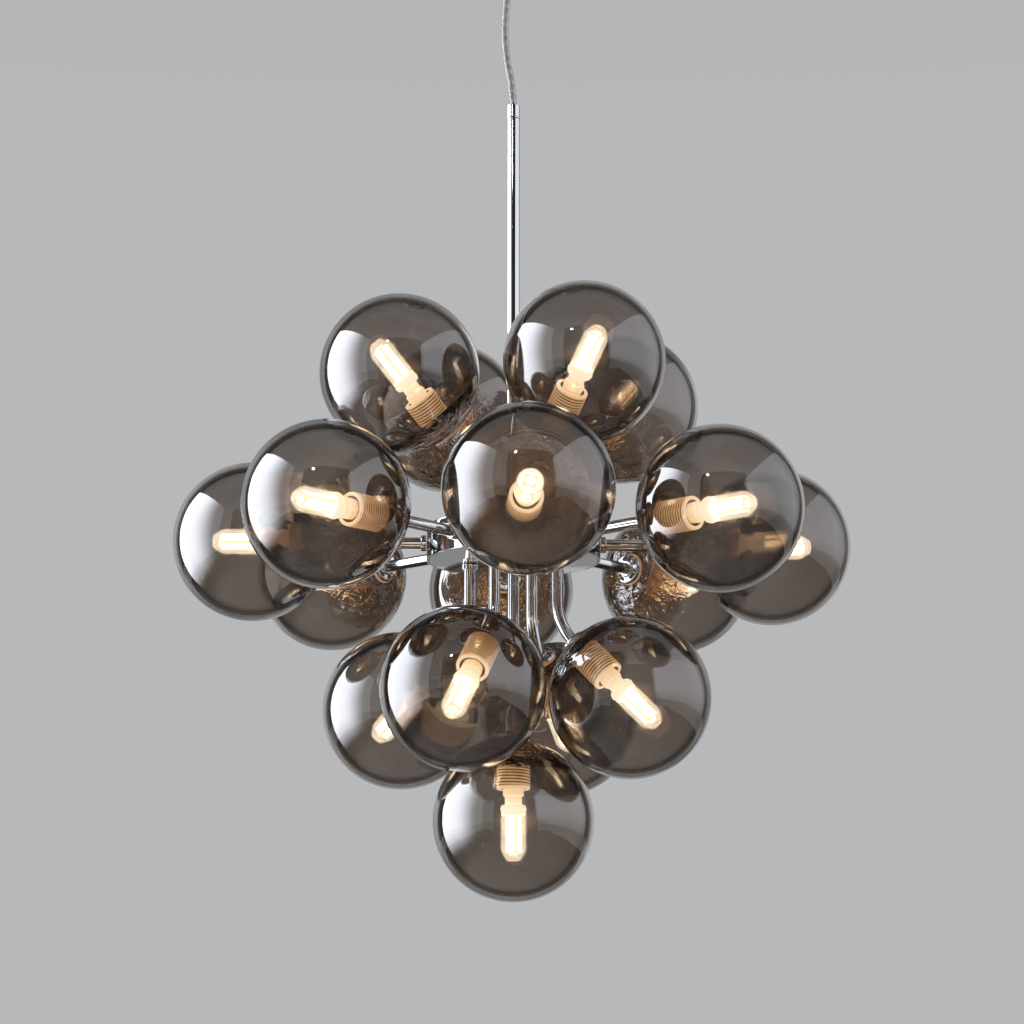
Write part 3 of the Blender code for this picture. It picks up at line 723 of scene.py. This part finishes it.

# The thread is cut into the sleeve between its two ends. Where it is cut, and in the sleeve's
# recesses, the material is told, for its painted shade
tree, given = new_growth("thread_on_sleeve", {
    "Pitch": "Float", "Depth": "Float", "Start": "Float", "End": "Float", "Run-out": "Float",
    "Core Radius": "Float", "Recess Radius": "Float", "Material": "Material"})
around, height, flat, outwards = round_axis(tree)
radius = add_node(tree, "VectorMath", {0: flat}, operation="LENGTH")
turns = add_node(tree, "Math", (height, given["Pitch"]), operation="DIVIDE")
phase = add_node(tree, "Math", (turns, math.tau, around), operation="MULTIPLY_ADD")
wave = add_node(tree, "Math", {0: phase}, operation="SINE")
cut = add_node(tree, "MapRange", {
    "Value": wave, "From Min": -0.1, "From Max": 0.7}, interpolation_type="SMOOTHSTEP")
limits = [add_node(tree, "Math", (radius, given["Core Radius"]), operation="GREATER_THAN")]
for end, direction in (("Start", 1.0), ("End", -1.0)):
    past = add_node(tree, "Math", (height, given[end]), operation="SUBTRACT")
    past = add_node(tree, "Math", (past, direction))
    limits.append(add_node(tree, "MapRange", {"Value": past, "From Min": 0.0, "From Max": given["Run-out"]}))
for limit in limits:
    cut = add_node(tree, "Math", (cut, limit))
# The recesses at the front and round the wire hole at the back are marked too, for painted shade
recess = add_node(tree, "Math", (radius, given["Recess Radius"]), operation="LESS_THAN")
dark = add_node(tree, "Math", (cut, recess), operation="MAXIMUM")
marked = given["Geometry"]
for mark, value in (("groove", dark), ("along", height)):
    marked = add_node(tree, "GeometryNodeStoreNamedAttribute", {
        "Geometry": marked, "Name": mark, "Value": value}, data_type="FLOAT")
for factor in (given["Depth"], -1.0):
    cut = add_node(tree, "Math", (cut, factor))
thread_growth = end_growth(tree, moved_out(tree, marked, outwards, cut), given["Material"])

holder_profile = [(0, holder_floor)] + rounded([
    (wire_hole_radius, holder_floor, 0.0003), (wire_hole_radius, holder_back, 0.0004),
    (holder_radius - 0.0002, holder_back, 0.0010), (holder_radius - 0.0002, thread_start - 0.0004, 0),
])[1:]
holder_profile += [(holder_radius, thread_start + (thread_end - thread_start) * i / thread_rows)
                   for i in range(thread_rows + 1)]
holder_profile += rounded([
    (holder_radius - 0.0005, thread_end + 0.0005, 0.0001), (rim_radius, thread_end + 0.0010, 0.0002),
    (rim_radius, holder_front, 0.0006), (holder_radius - 0.0024, holder_front, 0.0005),
    (recess_radius, recess_floor, 0.0003), (socket_radius + 0.0007, recess_floor, 0.0003),
    (socket_radius, holder_front - 0.0020, 0.0003), (socket_radius, socket_floor, 0.0002),
    (0, socket_floor, 0),
])
holder = grown_mesh(turned(holder_profile, holder_steps, polyester), thread_growth, {
    "Pitch": thread_pitch, "Depth": thread_depth, "Start": thread_start, "End": thread_end,
    "Run-out": thread_pitch * 0.5, "Core Radius": holder_radius * 0.9,
    "Recess Radius": holder_radius - 0.0028, "Material": polyester})
back_cap = turned(rounded([
    (cap_hole_radius, cap_seat, 0), (cap_hole_radius, cap_back, 0.0003), (0.0062, cap_back, 0.0008),
    (0.0066, cap_back + 0.0012, 0.0006), (cap_radius, cap_back + 0.0020, 0.0018),
    (cap_radius, cap_seat, 0.0003),
])[::-1], holder_steps, chrome, ring=True)
for name, part in (("lampholders_threaded", holder), ("lampholder_back_caps", back_cap)):
    add_piece(name, copies(part, "middle", "outwards"), "pendant", "chrome_arm")


# Lamps: G9 capsules, 19 mm across, all lit. LED strips stand round a square core in a clear cover
# with a chamfered tip, and a stepped plastic base carries the cover and holds the pins.
lamp_bottom = socket_floor + seat_gap
lamp_shoulder = holder_front + 0.012
lamp_ring_top = lamp_shoulder + 0.0082
lamp_tip = lamp_shoulder + 0.041
lamp_steps = 40
neck_radius = 0.0077
plug_radius = neck_radius - 0.0004
waist_radius = neck_radius - 0.0014
cover_radius = 0.0095
base_radius = cover_radius - 0.0003
rib_radius = cover_radius + 0.0003
spigot_radius = cover_radius - 0.0012
cover_wall = 0.0009
cover_low = lamp_ring_top + 0.0002
cover_inside = cover_radius - cover_wall
cover_shoulder = lamp_tip - 0.0075
tip_radius = cover_radius - 0.0046
core_half_width = 0.0046
core_low = lamp_ring_top + 0.0002
core_high = lamp_tip - 0.0058
core_middle = (core_low + core_high) / 2
strip_count = 4
strip_thickness = 0.0007
strip_width = 0.0062
chip_pitch = 0.0031

# Clear polycarbonate, moulded: full of the light inside it, so that its edges glow
polycarbonate, tree = new_material("polycarbonate_cover_clear")
place = add_node(tree, "TexCoord").outputs["Object"]
frost = add_node(tree, "TexNoise", {"Vector": place, "Scale": 260.0, "Detail": 2.0})
dull = add_node(tree, "MapRange", {"Value": frost, "To Min": 0.05, "To Max": 0.16})
end_material(tree, {"Base Color": "#FFFBF2", "Roughness": dull, "IOR": 1.45, "Transmission Weight": 1.0,
                    "Emission Color": "#FFF5E0", "Emission Strength": 0.42}, lamp_tint="#FFFDF8")

# Silicone over a row of LED chips, loaded with phosphor: brightest over each chip
phosphor, tree = new_material("led_phosphor_silicone_lit")
along = add_node(tree, "Attribute", attribute_name="along").outputs["Fac"]
phase = add_node(tree, "Math", (along, math.tau / chip_pitch))
wave = add_node(tree, "Math", {0: phase}, operation="SINE")
chips = add_node(tree, "MapRange", {"Value": wave, "From Min": -0.95, "From Max": -0.4})
glow = add_node(tree, "Mix", {0: chips, 6: "#6E6B5C", 7: "#FFF6E0"})
end_material(tree, {"Base Color": "#FFEFC6", "Roughness": 0.4, "Emission Color": glow,
                    "Emission Strength": 9.0})

# White polyamide core and base, moulded: lit through by the LEDs, and dimmer towards the pins
lit_base, tree = new_material("polyamide_base_glowing")
place = add_node(tree, "TexCoord").outputs["Object"]
cloud = add_node(tree, "TexNoise", {"Vector": place, "Scale": 150.0})
shade = add_node(tree, "Mix", {0: cloud, 6: "#EFDDBB", 7: "#FBF0DA"})
along = add_node(tree, "Attribute", attribute_name="along").outputs["Fac"]
reach = add_node(tree, "MapRange", {
    "Value": along, "From Min": lamp_bottom, "From Max": lamp_ring_top}, interpolation_type="SMOOTHSTEP")
glow = add_node(tree, "Mix", {0: reach, 6: "#CFAC78", 7: "#FFF6DF"})
core = add_node(tree, "Math", (along, lamp_ring_top + 0.0001), operation="GREATER_THAN")
dim = add_node(tree, "Mix", {0: core, 6: glow, 7: "#807C62"})
end_material(tree, {"Base Color": shade, "Roughness": 0.35, "Emission Color": dim,
                    "Emission Strength": 2.3})


def mark_along(mesh):
    """Keeps each point's height above the globe's middle, which its material reads."""
    heights = mesh.attributes.new("along", "FLOAT", "POINT")
    heights.data.foreach_set("value", [vertex.co.z for vertex in mesh.vertices])
    return mesh


cover_mesh = mark_along(turned(rounded([
    (0, lamp_tip - cover_wall, 0), (tip_radius - 0.0003, lamp_tip - cover_wall, 0.0012),
    (cover_inside, cover_shoulder, 0.0024), (cover_inside, cover_low, 0.0003),
    (cover_radius, cover_low, 0.0003), (cover_radius, cover_shoulder, 0.0026),
    (tip_radius, lamp_tip, 0.0016), (0, lamp_tip, 0)], 6), lamp_steps, polycarbonate))
base_mesh = turned(rounded([
    (0, lamp_bottom, 0), (plug_radius, lamp_bottom, 0.0005), (plug_radius, holder_front - 0.0006, 0.0002),
    (neck_radius, holder_front + 0.0002, 0.0003), (neck_radius, holder_front + 0.0048, 0.0004),
    (waist_radius, holder_front + 0.0054, 0.0003), (waist_radius, lamp_shoulder - 0.0008, 0.0004),
    (base_radius, lamp_shoulder, 0.0006), (base_radius, lamp_shoulder + 0.0016, 0.0003),
    (rib_radius, lamp_shoulder + 0.0020, 0.0003), (rib_radius, lamp_shoulder + 0.0032, 0.0003),
    (base_radius, lamp_shoulder + 0.0036, 0.0003), (base_radius, lamp_ring_top - 0.0010, 0.0003),
    (spigot_radius, lamp_ring_top - 0.0006, 0.0002), (spigot_radius, lamp_ring_top, 0.0002),
    (0, lamp_ring_top, 0)], 3), lamp_steps, lit_base)
core_block = block((core_half_width * 2, core_half_width * 2, core_high - core_low), (0, 0, core_middle),
                   0.0006, 2, lit_base)
led_strip = block((strip_thickness, strip_width, core_high - core_low - 0.0016),
                  (core_half_width + 0.0004, 0, core_middle), 0.0003, 2, phosphor)
for part in (core_block, led_strip):
    part.shade_smooth()
    part.set_sharp_from_angle(angle=sharp_angle)
led_tip = turned(rounded([
    (0, core_high + 0.00005, 0), (0.0030, core_high + 0.00005, 0.0001), (0.0030, core_high + 0.0007, 0.0003),
    (0, core_high + 0.0007, 0)]), 24, phosphor)
strips = []
for i in range(strip_count):
    strips.append(led_strip.copy())
    strips[-1].transform(Matrix.Rotation(math.tau * i / strip_count, 4, "Z"))
inside_mesh = mark_along(joined_mesh([base_mesh, core_block, *strips, led_tip]))

for label, light in lights.items():
    roll = Matrix.Rotation(math.radians(37.0 * len(label) + 23.0 * ord(label[-1])), 4, "Z")
    for kind, mesh, nodes in (("inside", inside_mesh, ()), ("cover", cover_mesh, (f"lamp_{label}",))):
        placed = mesh.copy()
        placed.transform(light["place"] @ roll)
        add_piece(f"lamp_{kind}_{label}", placed, f"lamp_{label}", "lamp_cover", *nodes)


# Globes: seventeen 120 mm balls of smoked glass, blown to a 2 mm wall, with the mouth turned in
# as a short neck that screws on the lampholder. The glass is uneven where it was worked, at the neck.
globe_wall = 0.002
globe_steps = 96
globe_rows = 44
mouth_radius = 0.013
neck_wall = 0.0025
neck_length = 0.008
neck_outside = mouth_radius + neck_wall
inner_radius = globe_radius - globe_wall
mouth_angle = -math.acos(mouth_radius / globe_radius)
root_angle = -math.acos((neck_outside + 0.0008) / inner_radius)
mouth_height = globe_radius * math.sin(mouth_angle)
neck_top = mouth_height + neck_length

# Smoked glass, blown: clear grey-brown; near the neck, where it was worked, amber, partly its own tint
# and partly painted shade. By how much its wall is seen from the side it gets a painted dark line, a
# painted bright band and a dark rim, the rim partly from the longer way through the tinted wall.
smoked_glass, tree = new_material("smoked_glass_blown")
place = add_node(tree, "TexCoord").outputs["Object"]
near_neck = add_node(tree, "Attribute", attribute_name="near_neck").outputs["Fac"]
turned_in = add_node(tree, "Attribute", attribute_name="turned_in").outputs["Fac"]
waves = add_node(tree, "TexNoise", {"Vector": place, "Scale": 115.0, "Detail": 3.0, "Distortion": 0.6})
slow = add_node(tree, "TexNoise", {"Vector": place, "Scale": 14.0, "Detail": 0.0})
rough = add_node(tree, "Math", (near_neck, 1.4))
worked = add_node(tree, "Math", (waves, rough))
height = add_node(tree, "Math", (slow, 0.7, worked), operation="MULTIPLY_ADD")
relief = add_node(tree, "Bump", {"Height": height, "Strength": 1.0, "Distance": 0.0016})
# Painted rim lines, by how far the wall is seen from the side: the dark line, the bright band and the dark
# rim
slant = add_node(tree, "LayerWeight", {"Blend": 0.5}).outputs["Facing"]
painted_rim_lines = add_node(tree, "ValToRGB", {"Fac": slant})
fill_ramp(painted_rim_lines.color_ramp, (
    (0.0, "#B9B0A8"), (0.50, "#B4ABA3"), (0.54, "#6B645D"), (0.62, "#5A544E"),
    (0.66, "#F7F6F4"), (0.90, "#F7F6F4"), (0.96, "#35312E")))
# Amber towards the neck: partly the worked glass's own tint, partly painted shade
neck_amber_and_painted_shade = add_node(tree, "Math", (near_neck, 0.8))
warm = add_node(tree, "Mix", {0: neck_amber_and_painted_shade, 6: painted_rim_lines, 7: "#97795A"})
smoke = add_node(tree, "Mix", {0: turned_in, 6: warm, 7: "#7F6045"})
end_material(tree, {"Base Color": smoke, "Roughness": 0.0, "IOR": 2.0, "Transmission Weight": 1.0,
                    "Normal": relief}, lamp_tint="#F0ECE8")


def ball_points(radius, start, end, steps):
    """Points up a ball's side, as (radius, height), between two angles above its middle."""
    angles = [start + (end - start) * i / steps for i in range(steps + 1)]
    return [(radius * math.cos(a) if i < steps else 0, radius * math.sin(a)) for i, a in enumerate(angles)]


globe_profile = [(0, inner_radius)]
globe_profile += ball_points(inner_radius, root_angle, math.pi / 2, globe_rows)[-2::-1]
globe_profile += rounded([
    (neck_outside + 0.0002, inner_radius * math.sin(root_angle) + 0.0003, 0),
    (neck_outside, neck_top, 0.0010), (mouth_radius, neck_top, 0.0010),
    (mouth_radius, mouth_height - 0.0002, 0)], 5)
globe_profile += ball_points(globe_radius, mouth_angle + 0.008, math.pi / 2, globe_rows)
globe_mesh = turned(globe_profile, globe_steps, smoked_glass)
for mark, depth, reach in (("near_neck", 0.034, 0.011), ("turned_in", 0.0505, 0.004)):
    worked_share = globe_mesh.attributes.new(mark, "FLOAT", "POINT")
    for vertex, value in zip(globe_mesh.vertices, worked_share.data):
        share = min(1.0, max(0.0, (-vertex.co.z - depth) / reach))
        value.value = share * share * (3 - 2 * share)
for label, light in lights.items():
    placed = globe_mesh.copy()
    placed.transform(light["place"])
    add_piece(f"smoked_globe_{label}", placed, f"globe_{label}", "smoked_glass", f"globe_{label}")


# Studio: a plain pale floor well below the light and a pale backdrop all round, a tall soft window
# of light on the left, a dimmer one on the right, and brown cards that only the gloss shows, as
# painted reflections: one behind the camera, one over the floor.
floor_height = -2.4
floor_radius = 14
floor_sides = 64
card_y = -4.2
card_top = 2.7
card_half_width = 2.6
low_card_z = floor_height + 0.05
low_card_reach = 4.5
# Middle and upright flattening of the cards' painted pool of light and glow
glow_flattening = 1.75
glow_middle = (0.0, card_y, -1.95)
window_foot_share = 0.34


def stage_sheet(name, corners, material):
    """A flat stage piece between its corners."""
    mesh = bpy.data.meshes.new(name)
    mesh.from_pydata(corners, [], [range(len(corners))])
    mesh.materials.append(material)
    sheet = add_object(name, mesh)
    return sheet


# Matt paint on the floor: pale, with broad faint clouds and no shine
floor_paint, tree = new_material("floor_matt_pale")
place = add_node(tree, "TexCoord").outputs["Object"]
mottle = add_node(tree, "TexNoise", {"Vector": place, "Scale": 3.0})
shade = add_node(tree, "Mix", {0: mottle, 6: "#E9E8E6", 7: "#EEEDEB"})
end_material(tree, {"Base Color": shade, "Roughness": 0.8, "Specular IOR Level": 0.0})
angles = [math.tau * i / floor_sides for i in range(floor_sides)]
stage_sheet("studio_floor", [(floor_radius * math.cos(a), floor_radius * math.sin(a), floor_height)
                             for a in angles], floor_paint)

# Matt card for painted reflections: a painted golden pool of light and a painted glow low down in front, and
# dark brown away from there
reflection_card_paint, tree = new_material("card_painted_reflection")
place = add_node(tree, "TexCoord").outputs["Object"]
flat = add_node(tree, "VectorMath", (place, (1.0, 1.0, glow_flattening)))
away = add_node(tree, "VectorMath", (flat, glow_middle), operation="DISTANCE")
# The painted light fades from its middle outwards
painted_light_falloff = add_node(tree, "MapRange", {
    "Value": away, "From Min": 0.7, "From Max": 3.3}, interpolation_type="SMOOTHSTEP")
shade, lit = (add_node(tree, "Mix", {0: painted_light_falloff, 6: near, 7: far})
              for near, far in (("#B98F5C", "#2B221A"), ("#C79A66", "#000000")))
end_material(tree, {"Base Color": shade, "Roughness": 0.9, "Emission Color": lit,
                    "Emission Strength": 1.25})
# Each card is seen only in gloss, as a painted reflection
for name, near, far in (
    ("card_front", (-card_half_width, card_y, floor_height), (card_half_width, card_y, card_top)),
    ("card_low", (-low_card_reach, card_y, low_card_z), (low_card_reach, low_card_reach, low_card_z)),
):
    card = stage_sheet(name, [near, (near[0], *far[1:]), far, (far[0], *near[1:])], reflection_card_paint)
    card.visible_camera = False
    card.visible_diffuse = False
    card.visible_transmission = False
    card.visible_shadow = False

# The backdrop is pale grey, a little darker overhead. Gloss alone also finds a painted dark ring in it,
# round a point behind the light, as painted reflected dark lines near the globes' rims and along the chrome.
world = bpy.data.worlds.new("studio")
world.use_nodes = True
bpy.context.scene.world = world
tree = world.node_tree
tree.nodes.clear()
towards = add_node(tree, "TexCoord").outputs["Generated"]
height = add_node(tree, "SeparateXYZ", {0: towards}).outputs["Z"]
rise = add_node(tree, "MapRange", {"Value": height, "From Min": 0.35, "From Max": 0.85})
sky = add_node(tree, "Mix", {0: rise, 6: "#B7B8BA", 7: "#8C8D8F"})
behind = add_node(tree, "VectorMath", (towards, (0, 0.978, 0.207)), operation="DOT_PRODUCT")
# Painted reflection: only glossy rays see the dark ring
painted_reflection_ring = add_node(tree, "LightPath").outputs["Is Glossy Ray"]
for start, end in ((0.48, 0.56), (0.82, 0.75)):
    edge = add_node(tree, "MapRange", {"Value": behind, "From Min": start, "From Max": end})
    painted_reflection_ring = add_node(tree, "Math", (painted_reflection_ring, edge))
room = add_node(tree, "Mix", {0: painted_reflection_ring, 6: sky, 7: "#3B3937"})
light = add_node(tree, "Background", {"Color": room, "Strength": 1.0})
add_node(tree, "OutputWorld", {"Surface": light})

# Each light: its place and aim, its size and power, and where across it, and to what share, it dims.
# It also fades out towards its foot.
for name, place, aim, size, power, fade, dim in (
    ("window_left", (-2.0, -0.25, -0.35), (1, 0, 0), (3.1, 3.3), 222.0, (0.38, 0.85), 0.08),
    ("window_right", (2.3, -2.1, 0.25), (-1, 0, 0), (7.2, 3.2), 62.0, (0.0, 1.0), 0.8),
    ("spot_front", (-0.9, -2.4, 1.1), (0.9, 2.4, -1.6), (0.16, 0.16), 2.2, (0.0, 1.0), 1.0),
):
    lamp = bpy.data.lights.new(name, "AREA")
    lamp.shape = "RECTANGLE"
    lamp.size, lamp.size_y = size
    lamp.energy = power
    lamp.use_nodes = True
    tree = lamp.node_tree
    tree.nodes.clear()
    spot = add_node(tree, "NewGeometry").outputs["Parametric"]
    x, y, _ = add_node(tree, "SeparateXYZ", {0: spot}).outputs
    across = add_node(tree, "MapRange", {
        "Value": x, "From Min": fade[0], "From Max": fade[1], "To Min": 1.0, "To Max": dim},
        interpolation_type="SMOOTHSTEP")
    foot = add_node(tree, "MapRange", {
        "Value": y, "From Min": 0.0, "From Max": window_foot_share}, interpolation_type="SMOOTHSTEP")
    level = add_node(tree, "Math", (across, foot))
    light = add_node(tree, "Emission", {"Color": "#F1F5FF", "Strength": level})
    add_node(tree, "OutputLight", {"Surface": light})
    stand = add_object(name, lamp)
    stand.location = place
    stand.rotation_euler = Vector(aim).to_track_quat("-Z", "Y").to_euler()
    stand.visible_camera = False
    stand.visible_transmission = False

bpy.context.scene.view_settings.view_transform = "Standard"
